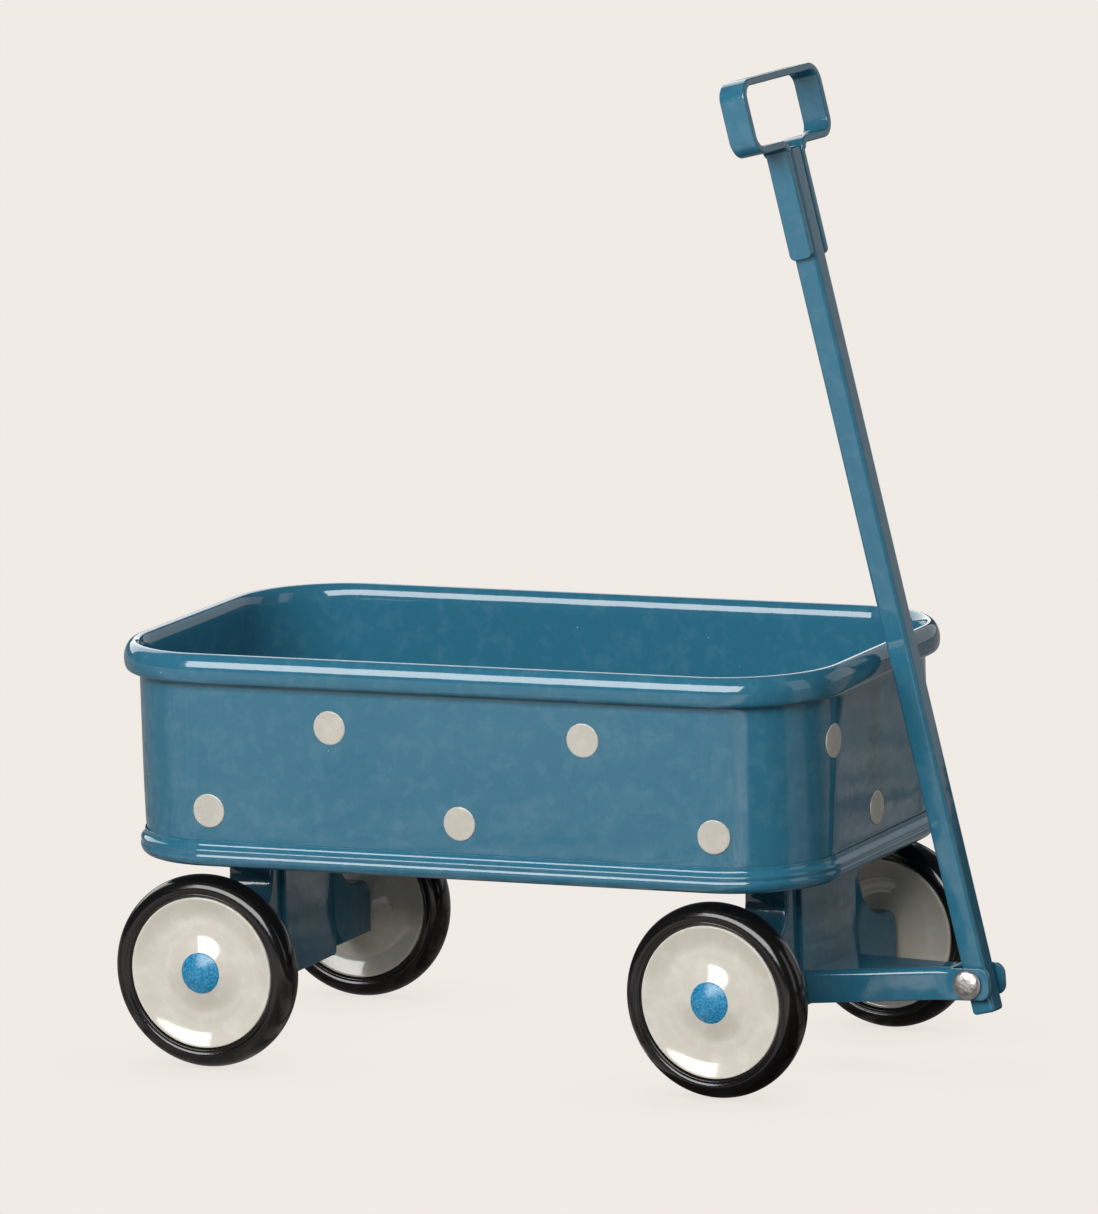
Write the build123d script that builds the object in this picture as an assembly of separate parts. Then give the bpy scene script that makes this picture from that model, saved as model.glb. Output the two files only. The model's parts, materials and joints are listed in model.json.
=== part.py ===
"""Dolls'-house pull wagon of enamelled sheet metal, all sizes in millimetres.

Frame: +X points forward, to the end with the handle, +Y is the wagon's left side and +Z is up.
The wheels stand on z = 0, and the origin lies under the middle of the whole wagon.
"""
import math
import os

from build123d import *

# Driving dimensions of the tub
rim_length = 115.0
rim_width = 66.0
rim_corner_radius = 17.0
tub_height = 32.2
tub_over_tyre = 1.8
rim_height = 4.5
rim_overhang = 2.3
rim_rounding = 1.5
wall_thickness = 0.8
floor_thickness = 0.7
seam_height = 3.6
seam_thickness = 0.65
seam_clearance = 0.03
seam_bottom_rounding = 1.5
seam_top_rounding = 0.35

# Driving dimensions of the wheels
tyre_radius = 14.5
tyre_thickness = 3.1
tyre_width = 5.3
tyre_edge_rounding = 1.5
tyre_inner_chamfer = 0.5
disc_thickness = 0.5
disc_edge_reach = 2.2
disc_crown_reach = 3.3
disc_corner = 0.7
hub_radius = 2.2
hub_inner_end = 0.5
disc_joint_gap = 0.05
tyre_fit_gap = 0.03

# Driving dimensions of the axles and their brackets
rear_axle_inset = 15.5
front_axle_inset = 15.0
wheel_inset = 5.9
wheel_end_play = 0.38
axle_radius = 1.0
running_clearance = 0.06
bracket_half_depth = 3.6
bracket_sheet = 0.8
bracket_neck_half_width = 11.5
bracket_foot_above_axle = 4.7
bracket_foot_below_axle = 3.4
bracket_flare_radius = 7.6
bracket_foot_rounding = 1.5
face_plate_margin = 3.0
face_plate_thickness = 0.8
face_plate_below_axle = 4.3
face_plate_top_gap = 0.4
axle_washer_radius = 2.4
axle_washer_thickness = 0.4
push_nut_radius = 1.9
push_nut_thickness = 0.7
axle_end_past_nut = 0.3
side_gap = 0.12

# Driving dimensions of the kingpin and the bracket rivets
kingpin_radius = 1.5
kingpin_head_gap = 0.25
kingpin_washer_radius = 6.0
kingpin_washer_thickness = 0.5
rivet_radius = 1.2
rivet_head_ratio = 1.7
rivet_head_height = 0.9
rear_rivet_half_spacing = 7.0
steer_at_rest = -5.0
steer_limit = 16.5

# Driving dimensions of the tongue and the handle
pivot_reach = 28.4
pivot_below_axle = 0.4
tongue_rise = 2.8
tongue_height = 4.8
tongue_sheet = 0.9
tongue_plate_margin = 0.7
tongue_taper_end = 5.5
tongue_top_end = 3.0
tongue_nose_reach = 3.5
tongue_nose_rounding = 1.5
pivot_radius = 1.2
pivot_head_radius = 2.3
pivot_head_height = 1.0
fork_side_gap = 0.3
shaft_width = 3.3
shaft_depth = 3.7
shaft_rounding = 0.6
shaft_tail = 4.8
shaft_eye_radius = 2.2
shaft_rim_gap = 0.1164
shaft_lead = 0.8
handle_length = 136.1
handle_swing = 104.0
grip_width = 24.0
grip_height = 11.2
grip_sheet = 1.1
grip_strap_width = 4.2
grip_corner_radius = 2.8
grip_leg_length = 16.4
grip_leg_width = 3.7
grip_leg_bend = 1.0

# Sizes that follow from the ones above
wall_length = rim_length - 2 * rim_overhang
wall_width = rim_width - 2 * rim_overhang
wall_corner_radius = rim_corner_radius - rim_overhang
rim_edge_rounding = min(rim_rounding, (rim_overhang + wall_thickness) / 2 - 0.05)
tub_underside = 2 * tyre_radius + tub_over_tyre
rim_top = tub_underside + tub_height
disc_radius = tyre_radius - tyre_thickness
track = rim_width - 2 * wheel_inset
rear_axle_x = rear_axle_inset - rim_length / 2
front_axle_x = rim_length / 2 - front_axle_inset
hub_face = track / 2 - disc_crown_reach
bracket_foot_half_width = hub_face - wheel_end_play - axle_washer_thickness - side_gap
bracket_foot_top = tyre_radius + bracket_foot_above_axle
bracket_foot_bottom = tyre_radius - bracket_foot_below_axle
face_plate_half_width = bracket_neck_half_width - face_plate_margin
face_plate_bottom = tyre_radius - face_plate_below_axle
front_bracket_top = tub_underside - kingpin_washer_thickness - 2 * side_gap
plate_front = bracket_half_depth + face_plate_thickness
push_nut_start = track / 2 + hub_inner_end + side_gap
axle_half_length = push_nut_start + push_nut_thickness + axle_end_past_nut
kingpin_head_radius = bracket_half_depth - bracket_sheet - kingpin_head_gap
pivot_height = tyre_radius - pivot_below_axle
tongue_rear_half_width = face_plate_half_width - tongue_plate_margin
fork_half_gap = shaft_width / 2 + fork_side_gap
fork_half_width = fork_half_gap + tongue_sheet


def lean_against_rim():
    """Angle at which the shaft stands just clear of the rim when the truck is steered to its limit."""
    turn = math.radians(steer_limit)
    flat_half_width = shaft_width / 2 - shaft_rounding
    rim_reach = (front_axle_inset + flat_half_width * math.sin(turn)) / math.cos(turn)
    back = pivot_reach - rim_reach + rim_rounding
    up = rim_top - rim_rounding - pivot_height
    clear = shaft_depth / 2 - shaft_lead + rim_rounding + shaft_rim_gap
    return math.degrees(math.acos(clear / math.hypot(back, up)) - math.atan2(up, back))


shaft_lean = lean_against_rim()


def ring(length, width, corner, inset, height):
    """Upright ring with rounded corners and a wall as thick as the inset."""
    outer = RectangleRounded(length, width, corner)
    inner = RectangleRounded(length - 2 * inset, width - 2 * inset, corner - inset)
    return extrude(outer - inner, height)


def tube(outer_radius, inner_radius, length):
    """Round washer or tube standing on its end."""
    return extrude(Circle(outer_radius) - Circle(inner_radius), length)


def along_y(shape):
    """Turns a shape that stands on +Z so that it points along +Y."""
    return Rot(-90, 0, 0) * shape


def domed_head(radius, height):
    """Rivet head: a flat disc that is domed on its upper side."""
    crown = (radius**2 + height**2) / (2 * height)
    ball = Pos(0, 0, height - crown) * Sphere(crown)
    return ball & extrude(Circle(radius + 1), height)


def rivet(radius, head_radius, grip):
    """Rivet through a stack as thick as the grip, with a domed head at each end."""
    head = domed_head(head_radius, rivet_head_height)
    shank = extrude(Circle(radius), grip)
    return shank + Pos(0, 0, grip) * head + Rot(180, 0, 0) * head


# Tub: a wall with a rolled rim, standing in a pressed floor pan
def tub_wall():
    wall_base = tub_underside + floor_thickness
    wall = ring(wall_length, wall_width, wall_corner_radius, wall_thickness, rim_top - wall_base)
    rim = ring(rim_length, rim_width, rim_corner_radius, rim_overhang + wall_thickness, rim_height)
    top_edges = rim.faces().sort_by(Axis.Z)[-1].edges()
    lower_edges = rim.faces().sort_by(Axis.Z)[0].outer_wire().edges()
    rim = fillet(top_edges + lower_edges, rim_edge_rounding)
    return Pos(0, 0, wall_base) * wall + Pos(0, 0, rim_top - rim_height) * rim


def tub_floor():
    reach = 2 * (seam_thickness + seam_clearance)
    outer = RectangleRounded(
        wall_length + reach, wall_width + reach, wall_corner_radius + reach / 2
    )
    pocket = RectangleRounded(
        wall_length + 2 * seam_clearance,
        wall_width + 2 * seam_clearance,
        wall_corner_radius + seam_clearance,
    )
    pan = extrude(outer, seam_height)
    pan = fillet(pan.faces().sort_by(Axis.Z)[0].edges(), seam_bottom_rounding)
    pan = fillet(pan.faces().sort_by(Axis.Z)[-1].edges(), seam_top_rounding)
    pan -= Pos(0, 0, floor_thickness) * extrude(pocket, seam_height)
    pan = Pos(0, 0, tub_underside) * pan
    for x, y, radius in floor_holes():
        pan -= Pos(x, y, tub_underside) * Cylinder(radius, 4 * floor_thickness)
    return pan


def floor_holes():
    """Centre and radius of each hole in the floor: the kingpin's and the rear rivets'."""
    holes = [(front_axle_x, 0, kingpin_radius + running_clearance)]
    for side in (-1, 1):
        holes.append((rear_axle_x, side * rear_rivet_half_spacing, rivet_radius + running_clearance))
    return holes


# Wheels: two pressed discs, crimped together inside a ring tyre, built with the outer side on +Y
def disc_section(crown_reach):
    """Half section of a pressed disc in the XY plane: domed face, round corner, flat flange."""
    edge = disc_radius - disc_corner
    inner_radius = disc_radius - disc_thickness
    slope = (crown_reach - disc_edge_reach) / 2

    def face_line(offset, end):
        middle = (end * 0.55, disc_edge_reach + 1.25 * slope - offset)
        return ThreePointArc((0, crown_reach - offset), middle, (end, disc_edge_reach - offset))

    outer_face = face_line(0, edge)
    corner = RadiusArc((edge, disc_edge_reach), (disc_radius, disc_edge_reach - disc_corner), disc_corner)
    inner_face = face_line(disc_thickness, edge - disc_thickness)
    inner_start = inner_face @ 1
    path = [
        outer_face,
        corner,
        Line((disc_radius, disc_edge_reach - disc_corner), (disc_radius, disc_joint_gap)),
        Line((disc_radius, disc_joint_gap), (inner_radius, disc_joint_gap)),
        Line((inner_radius, disc_joint_gap), (inner_radius, inner_start.Y - disc_thickness)),
        Line((inner_radius, inner_start.Y - disc_thickness), inner_start),
        inner_face,
        Line((0, crown_reach - disc_thickness), (0, crown_reach)),
    ]
    return make_face(path)


def wheel_cover():
    """Outer disc: closed, because it hides the end of the axle."""
    return revolve(disc_section(disc_crown_reach), Axis.Y)


def wheel_back():
    """Inner disc, with the hub tube that runs on the axle."""
    shell = mirror(revolve(disc_section(disc_crown_reach), Axis.Y), Plane.XZ)
    hub_length = disc_crown_reach + hub_inner_end
    hub = Pos(0, -disc_crown_reach, 0) * along_y(extrude(Circle(hub_radius), hub_length))
    bore = Pos(0, -2 * disc_crown_reach, 0) * along_y(
        extrude(Circle(axle_radius + running_clearance), 4 * disc_crown_reach)
    )
    return shell + hub - bore


def tyre():
    half = tyre_width / 2
    inner = disc_radius + tyre_fit_gap
    chamfer = tyre_inner_chamfer
    corners = [
        (inner, half - chamfer),
        (inner + chamfer, half),
        (tyre_radius, half),
        (tyre_radius, -half),
        (inner + chamfer, -half),
        (inner, chamfer - half),
    ]
    section = make_face(Polyline(*corners, close=True))
    tread = [v for v in section.vertices() if v.X > tyre_radius - 0.01]
    section = fillet(tread, tyre_edge_rounding)
    return revolve(section, Axis.Y)


# Axle sets: a flared bracket, its face plate, an axle, and what keeps the wheels on
def bracket_outline(top):
    """Front view of the bracket in the XY plane, drawn with its height along +Y."""
    neck = Pos(0, (top + bracket_foot_bottom) / 2) * Rectangle(
        2 * bracket_neck_half_width, top - bracket_foot_bottom
    )
    foot = Pos(0, (bracket_foot_top + bracket_foot_bottom) / 2) * Rectangle(
        2 * bracket_foot_half_width, bracket_foot_top - bracket_foot_bottom
    )
    outline = neck + foot
    at_shoulder = outline.vertices().filter_by_position(
        Axis.Y, bracket_foot_top - 0.01, bracket_foot_top + 0.01
    )
    flares = [v for v in at_shoulder if abs(v.X) < bracket_neck_half_width + 0.01]
    shoulder = bracket_foot_half_width - bracket_neck_half_width - bracket_foot_rounding
    outline = fillet(flares, min(bracket_flare_radius, shoulder - 0.1))
    tips = [
        v
        for v in outline.vertices()
        if abs(v.X) > bracket_foot_half_width - 0.01 and v.Y > bracket_foot_top - 0.01
    ]
    return fillet(tips, bracket_foot_rounding)


def bracket(top, hole_radius, hole_places):
    """Folded channel: front and back plates, a top, and an ear at each end for the axle."""
    upright = Plane(origin=(-bracket_half_depth, 0, 0), x_dir=(0, 1, 0), z_dir=(1, 0, 0))
    body = extrude(upright * bracket_outline(top), 2 * bracket_half_depth)
    inside_height = top - bracket_sheet - bracket_foot_bottom
    inside = Box(
        2 * (bracket_half_depth - bracket_sheet),
        2 * (bracket_foot_half_width - bracket_sheet),
        2 * inside_height,
    )
    body -= Pos(0, 0, bracket_foot_bottom) * inside
    body -= Pos(0, -2 * track, tyre_radius) * along_y(
        extrude(Circle(axle_radius + running_clearance), 4 * track)
    )
    for y in hole_places:
        body -= Pos(0, y, top) * Cylinder(hole_radius, 4 * bracket_sheet)
    return body


def face_plate(top):
    """Stiffening plate welded to the front of the bracket."""
    height = top - face_plate_top_gap - face_plate_bottom
    plate = Box(face_plate_thickness, 2 * face_plate_half_width, height)
    return Pos(
        bracket_half_depth + face_plate_thickness / 2, 0, face_plate_bottom + height / 2
    ) * plate


def axle():
    rod = extrude(Circle(axle_radius), 2 * axle_half_length)
    return Pos(0, -axle_half_length, tyre_radius) * along_y(rod)


def pair_on_axle(outer_radius, thickness, start):
    """Two equal rings on the axle, one at each side, each beginning at the start distance."""
    one = along_y(tube(outer_radius, axle_radius + running_clearance / 2, thickness))
    right = Pos(0, -start - thickness, tyre_radius) * one
    left = Pos(0, start, tyre_radius) * one
    return Compound([right, left])


def axle_set(end, top, hole_radius, hole_places):
    """All pieces of one axle, about the point on the ground under its middle."""
    pieces = {
        f"{end}_bracket": bracket(top, hole_radius, hole_places),
        f"{end}_bracket_face_plate": face_plate(top),
        f"{end}_axle": axle(),
        f"{end}_axle_washers": pair_on_axle(
            axle_washer_radius, axle_washer_thickness, bracket_foot_half_width + side_gap
        ),
        f"{end}_push_nuts": pair_on_axle(push_nut_radius, push_nut_thickness, push_nut_start),
    }
    for side, name in ((-1, "right"), (1, "left")):
        spot = Pos(0, side * track / 2, tyre_radius) * Rot(0, 0, 0 if side > 0 else 180)
        pieces[f"{end}_{name}_tyre"] = spot * tyre()
        pieces[f"{end}_{name}_wheel_cover"] = spot * wheel_cover()
        pieces[f"{end}_{name}_wheel_back"] = spot * wheel_back()
    return pieces


# Steering: kingpin, tongue, and the handle that is riveted into the tongue's fork
def kingpin():
    """Rivet that hangs the front bracket under the floor, and lets it turn."""
    stack_bottom = front_bracket_top - bracket_sheet - side_gap
    grip = tub_underside + floor_thickness - stack_bottom
    pin = rivet(kingpin_radius, kingpin_head_radius, grip)
    return Pos(0, 0, stack_bottom) * pin


def kingpin_washer():
    ring_piece = tube(
        kingpin_washer_radius, kingpin_radius + running_clearance, kingpin_washer_thickness
    )
    return Pos(0, 0, front_bracket_top + side_gap) * ring_piece


def rear_rivets():
    stack_bottom = tub_underside - bracket_sheet
    one = rivet(rivet_radius, rivet_head_ratio * rivet_radius, bracket_sheet + floor_thickness)
    row = []
    for side in (-1, 1):
        row.append(Pos(0, side * rear_rivet_half_spacing, stack_bottom) * one)
    return Compound(row)


def tongue():
    """Tapered channel, open below, that ends in a fork with rounded cheeks about the pivot."""
    run = pivot_reach - plate_front + tongue_height
    taper_start = -run
    half_height = tongue_height / 2
    nose = tongue_nose_reach
    taper = (tongue_rear_half_width - fork_half_width) / (pivot_reach - plate_front - tongue_taper_end)
    rear_half = fork_half_width + taper * (run - tongue_taper_end)

    def plan(inset):
        rear = rear_half - inset
        front = fork_half_width - inset
        points = [
            (taper_start, -rear),
            (-tongue_taper_end, -front),
            (nose, -front),
            (nose, front),
            (-tongue_taper_end, front),
            (taper_start, rear),
        ]
        return make_face(Polyline(*points, close=True))

    body = Pos(0, 0, -half_height) * extrude(plan(0), tongue_height)
    inside = Pos(0, 0, -half_height - tongue_sheet) * extrude(plan(tongue_sheet), tongue_height)
    open_top = Pos(-tongue_top_end, 0, 0) * Box(
        tongue_top_end + tongue_height,
        2 * fork_half_gap,
        2 * tongue_height,
        align=(Align.MIN, Align.CENTER, Align.CENTER),
    )
    side_view = Pos((nose - run) / 2, 0, 0) * Box(run + nose, 4 * rear_half, tongue_height)
    cheek_corners = side_view.edges().filter_by(Axis.Y).sort_by(Axis.X)[-2:]
    side_view = fillet(cheek_corners, tongue_nose_rounding)
    body = (body - inside - open_top) & side_view
    body -= Pos(0, -track, 0) * along_y(extrude(Circle(pivot_radius + running_clearance / 2), 2 * track))
    placed = Pos(pivot_reach, 0, pivot_height) * Rot(0, -tongue_rise, 0) * body
    behind = Box(4 * run, 8 * rear_half, 8 * tongue_height, align=(Align.MAX, Align.CENTER, Align.CENTER))
    return placed - Pos(plate_front, 0, pivot_height) * behind


def pivot_rivet():
    grip = 2 * (fork_half_width + side_gap / 2)
    head = domed_head(pivot_head_radius, pivot_head_height)
    pin = extrude(Circle(pivot_radius), grip) + Pos(0, 0, grip) * head + Rot(180, 0, 0) * head
    return Pos(pivot_reach, -grip / 2, pivot_height) * along_y(pin)


def leaned(shape):
    """Puts a handle piece, drawn upright about the pivot, at its lean over the tub."""
    return Pos(pivot_reach, 0, pivot_height) * Rot(0, -shaft_lean, 0) * shape


def handle_shaft():
    top = handle_length - grip_height
    length = top + shaft_tail
    bar = Box(shaft_depth, shaft_width, length, align=(Align.CENTER, Align.CENTER, Align.MIN))
    bar = fillet(bar.edges().filter_by(Axis.Z), shaft_rounding)
    bar = Pos(shaft_lead, 0, -shaft_tail) * bar
    bar += Pos(0, -shaft_width / 2, 0) * along_y(extrude(Circle(shaft_eye_radius), shaft_width))
    bore = Pos(0, -shaft_width, 0) * along_y(
        extrude(Circle(pivot_radius + running_clearance), 2 * shaft_width)
    )
    return leaned(bar - bore)


def handle_grip():
    """One strap bent into a loop, with a leg down each side of the shaft."""
    leg_inner = shaft_width / 2
    leg_outer = leg_inner + grip_sheet
    loop_bottom = handle_length - grip_height
    loop_middle = handle_length - grip_height / 2
    loop = RectangleRounded(grip_width, grip_height, grip_corner_radius)
    loop -= RectangleRounded(
        grip_width - 2 * grip_sheet, grip_height - 2 * grip_sheet, grip_corner_radius - grip_sheet
    )
    outline = Pos(0, loop_middle) * loop
    leg_height = grip_leg_length + grip_sheet
    for side in (-1, 1):
        outline += Pos(side * (leg_inner + leg_outer) / 2, loop_bottom + grip_sheet - leg_height / 2) * (
            Rectangle(grip_sheet, leg_height)
        )
    outline -= Pos(0, loop_bottom) * Rectangle(2 * leg_inner, 4 * grip_sheet)
    bends = [
        v
        for v in outline.vertices()
        if abs(v.Y - loop_bottom) < 0.01 and abs(abs(v.X) - leg_outer) < 0.01
    ]
    outline = fillet(bends, grip_leg_bend)
    upright = Plane(origin=(-grip_strap_width / 2, 0, 0), x_dir=(0, 1, 0), z_dir=(1, 0, 0))
    strap = extrude(upright * outline, grip_strap_width)
    trim_height = 2 * grip_leg_length
    for side in (-1, 1):
        trim = Box(grip_strap_width, grip_width, trim_height)
        offset = side * (grip_strap_width / 2 + grip_leg_width / 2)
        strap -= Pos(offset, 0, loop_bottom - trim_height / 2) * trim
    return leaned(Pos(shaft_lead, 0, 0) * strap)


def steered(shape):
    """Places a piece that is drawn straight ahead, about the kingpin, as it stands at rest."""
    return Pos(front_axle_x, 0, 0) * Rot(0, 0, steer_at_rest) * shape


def wagon():
    """Every piece by name, about the ground under the middle of the tub."""
    pieces = {"tub_wall": tub_wall(), "tub_floor": tub_floor()}
    pieces["kingpin"] = Pos(front_axle_x, 0, 0) * kingpin()
    rear_places = [-rear_rivet_half_spacing, rear_rivet_half_spacing]
    rear = axle_set("rear", tub_underside, rivet_radius + running_clearance, rear_places)
    rear["rear_bracket_rivets"] = rear_rivets()
    for name, shape in rear.items():
        pieces[name] = Pos(rear_axle_x, 0, 0) * shape
    front = axle_set("front", front_bracket_top, kingpin_radius + running_clearance, [0])
    front["kingpin_washer"] = kingpin_washer()
    front["tongue"] = tongue()
    front["pivot_rivet"] = pivot_rivet()
    front["handle_shaft"] = handle_shaft()
    front["handle_grip"] = handle_grip()
    for name, shape in front.items():
        pieces[name] = steered(shape)
    return pieces


pieces = wagon()
boxes = [shape.bounding_box() for shape in pieces.values()]
middle_x = (min(box.min.X for box in boxes) + max(box.max.X for box in boxes)) / 2

os.makedirs("parts", exist_ok=True)
for name, shape in pieces.items():
    export_step(Pos(-middle_x, 0, 0) * shape, f"parts/{name}.step")
print(len(pieces), "nodes, middle of the wagon at x =", round(middle_x, 3))
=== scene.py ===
# %% [markdown]
# # A dolls'-house pull wagon in enamelled sheet metal
# The wagon is a miniature: a pressed tub about as long as a hand, on four wheels with
# black ring tyres, and a strap handle that leans against the rim. The frame that is
# loaded here holds every working piece at its real size and place. This lesson gives
# each piece the shape and finish that a model maker would give it, and leaves the
# frame's sizes alone.

# %% Load the frame
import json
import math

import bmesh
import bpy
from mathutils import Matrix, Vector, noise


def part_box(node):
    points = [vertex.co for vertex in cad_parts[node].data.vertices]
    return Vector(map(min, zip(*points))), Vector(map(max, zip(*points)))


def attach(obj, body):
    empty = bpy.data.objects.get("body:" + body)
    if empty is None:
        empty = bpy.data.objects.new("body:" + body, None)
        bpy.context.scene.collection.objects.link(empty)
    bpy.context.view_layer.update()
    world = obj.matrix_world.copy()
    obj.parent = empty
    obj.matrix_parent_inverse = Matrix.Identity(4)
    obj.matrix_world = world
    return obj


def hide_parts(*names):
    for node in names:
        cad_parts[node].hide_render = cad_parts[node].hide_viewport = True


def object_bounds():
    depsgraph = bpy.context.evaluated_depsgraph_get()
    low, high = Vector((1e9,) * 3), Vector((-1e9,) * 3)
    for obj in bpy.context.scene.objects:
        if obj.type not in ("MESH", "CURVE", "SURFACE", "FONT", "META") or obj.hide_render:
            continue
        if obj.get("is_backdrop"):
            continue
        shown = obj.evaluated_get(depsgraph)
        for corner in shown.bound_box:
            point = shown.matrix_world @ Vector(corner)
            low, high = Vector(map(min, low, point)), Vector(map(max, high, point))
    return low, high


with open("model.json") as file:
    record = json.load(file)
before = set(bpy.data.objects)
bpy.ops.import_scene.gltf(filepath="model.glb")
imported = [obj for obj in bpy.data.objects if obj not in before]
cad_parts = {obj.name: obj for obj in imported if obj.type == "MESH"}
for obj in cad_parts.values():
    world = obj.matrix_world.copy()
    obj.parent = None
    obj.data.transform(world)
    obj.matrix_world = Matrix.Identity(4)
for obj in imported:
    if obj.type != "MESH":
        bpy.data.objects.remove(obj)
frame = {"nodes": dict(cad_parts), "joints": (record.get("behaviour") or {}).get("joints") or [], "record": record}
cad_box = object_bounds()

# %% [markdown]
# ## Places and units
# Every size below is in millimetres, which suits a toy, and a piece is scaled to metres
# once, when it is finished. The places come from the frame: the boxes of its nodes, the
# points and axes of its joints. The front truck and the handle stand turned, so each has
# a matrix that carries a piece from the place where it is easy to draw to its own place.

MM = 0.001
QUARTER_TURN = math.pi / 2
HALF_TURN = math.pi
FULL_TURN = 2 * math.pi
SAME = 0.01  # two places closer than this count as one


def box_mm(node):
    """Lowest and highest corner of a node of the frame, in millimetres."""
    low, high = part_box(node)
    return low / MM, high / MM


def joint_at(name):
    return Vector(joints[name]["pos_m"]) / MM


def middle_and_half(low, high):
    """Middle point and half size of a box."""
    return (low + high) / 2, (high - low) / 2


joints = {joint["name"]: joint for joint in frame["joints"]}
mounts = {mount["name"]: mount for mount in frame["record"]["mounts"]}
tub_middle, tub_half = middle_and_half(*box_mm("tub_wall"))
rim_top = box_mm("tub_wall")[1].z
tub_underside = box_mm("tub_floor")[0].z
kingpin_at = joint_at("steering")
pivot_at = joint_at("handle_hinge")
hinge_axis = Vector(joints["handle_hinge"]["axis"])
steer = math.atan2(-hinge_axis.x, hinge_axis.y)
lean = math.asin(mounts["handle_shaft_face"]["axis"][2])
rear_axle_x = joint_at("rear_right_wheel_spin").x
axle_height = joint_at("rear_right_wheel_spin").z
pivot_reach = (pivot_at - kingpin_at).to_2d().length

truck_place = Matrix.Translation((kingpin_at.x, 0, 0)) @ Matrix.Rotation(steer, 4, "Z")
pivot_place = Matrix.Translation(pivot_at) @ Matrix.Rotation(steer, 4, "Z")
handle_place = pivot_place @ Matrix.Rotation(-lean, 4, "Y")
print("tub", [round(2 * side, 2) for side in tub_half], "rim top", round(rim_top, 2))
print("truck turned", round(math.degrees(steer), 2), "handle leans", round(math.degrees(lean), 2))

# %% [markdown]
# ## Camera
# A long lens from well back, a little above the toy and round towards its front, keeps
# upright lines nearly parallel. The camera is held very slightly out of level. It is
# built from the point it aims at, the angle round the toy and the angle above the floor.

# %% Camera
camera_aim = Vector((-5.36, -0.3, 66.4)) * MM
camera_distance = 1815 * MM
camera_azimuth = math.radians(24.4)
camera_elevation = math.radians(9.68)
camera_roll = math.radians(-1.8)


def direction(azimuth, elevation):
    """Unit vector from the toy: azimuth 0 is its near long side, a quarter turn its front."""
    level = math.cos(elevation)
    return Vector((math.sin(azimuth) * level, -math.cos(azimuth) * level, math.sin(elevation)))


camera_data = bpy.data.cameras.new("camera")
camera_data.lens = 364.2
camera_data.sensor_width = 36
camera = bpy.data.objects.new("camera", camera_data)
bpy.context.scene.collection.objects.link(camera)
back = direction(camera_azimuth, camera_elevation)
facing = (-back).to_track_quat("-Z", "Y").to_matrix().to_4x4()
camera_at = Matrix.Translation(camera_aim + back * camera_distance)
camera.matrix_world = camera_at @ facing @ Matrix.Rotation(camera_roll, 4, "Z")
bpy.context.scene.camera = camera
print("camera", round(camera_distance, 3), "m away with a", round(camera_data.lens, 1), "mm lens")

# %% [markdown]
# ## Materials
# The finish of the real thing is vitreous-looking stove enamel: a deep colour under a
# hard gloss that lies a little uneven over the sheet, with dust specks and pinholes. One
# Principled shader holds it. Noise at three sizes tips the surface, so that reflections
# wander as they do on sprayed metal, and a fine noise shifts the colour a little. Values
# that are the same all over sit on the shader itself.

# %% Node helpers
def new_material(name):
    material = bpy.data.materials.new(name)
    material.use_nodes = True
    nodes = material.node_tree.nodes
    nodes.clear()
    output = nodes.new("ShaderNodeOutputMaterial")
    shader = nodes.new("ShaderNodeBsdfPrincipled")
    material.node_tree.links.new(shader.outputs["BSDF"], output.inputs["Surface"])
    coordinates = nodes.new("ShaderNodeTexCoord")
    return material, shader, coordinates.outputs["Object"]


def link(material, source, target):
    material.node_tree.links.new(source, target)


def noise_at(material, place, size_mm, detail=2.0, roughness=0.5):
    """Noise whose lumps are about as large as the given size."""
    node = material.node_tree.nodes.new("ShaderNodeTexNoise")
    node.inputs["Scale"].default_value = 1 / (size_mm * MM)
    node.inputs["Detail"].default_value = detail
    node.inputs["Roughness"].default_value = roughness
    link(material, place, node.inputs["Vector"])
    return node.outputs["Fac"]


def spread(material, source, low, high, to_low=0.0, to_high=1.0):
    """Stretches the values between low and high over a new range."""
    node = material.node_tree.nodes.new("ShaderNodeMapRange")
    for name, value in zip(("From Min", "From Max", "To Min", "To Max"), (low, high, to_low, to_high)):
        node.inputs[name].default_value = value
    link(material, source, node.inputs["Value"])
    return node.outputs["Result"]


def mix_colours(material, factor, first, second):
    """Blends two colours, each a plain colour or another node's output."""
    node = material.node_tree.nodes.new("ShaderNodeMix")
    node.data_type = "RGBA"
    link(material, factor, node.inputs["Factor"])
    for colour, socket in ((first, node.inputs[6]), (second, node.inputs[7])):
        if isinstance(colour, tuple):
            socket.default_value = (*colour, 1)
        else:
            link(material, colour, socket)
    return node.outputs[2]


def bump(material, height, depth_mm, strength=1.0, under=None):
    """Tips the surface as if the height rose by the given depth; bumps can be stacked."""
    node = material.node_tree.nodes.new("ShaderNodeBump")
    node.inputs["Strength"].default_value = strength
    node.inputs["Distance"].default_value = depth_mm * MM
    link(material, height, node.inputs["Height"])
    if under is not None:
        link(material, under, node.inputs["Normal"])
    return node.outputs["Normal"]


def specks(material, place, spacing_mm, radius_share):
    """Scattered round specks: 1 inside a speck and 0 between them."""
    node = material.node_tree.nodes.new("ShaderNodeTexVoronoi")
    node.inputs["Scale"].default_value = 1 / (spacing_mm * MM)
    node.inputs["Randomness"].default_value = 1.0
    link(material, place, node.inputs["Vector"])
    return spread(material, node.outputs["Distance"], radius_share, radius_share * 0.6)
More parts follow.
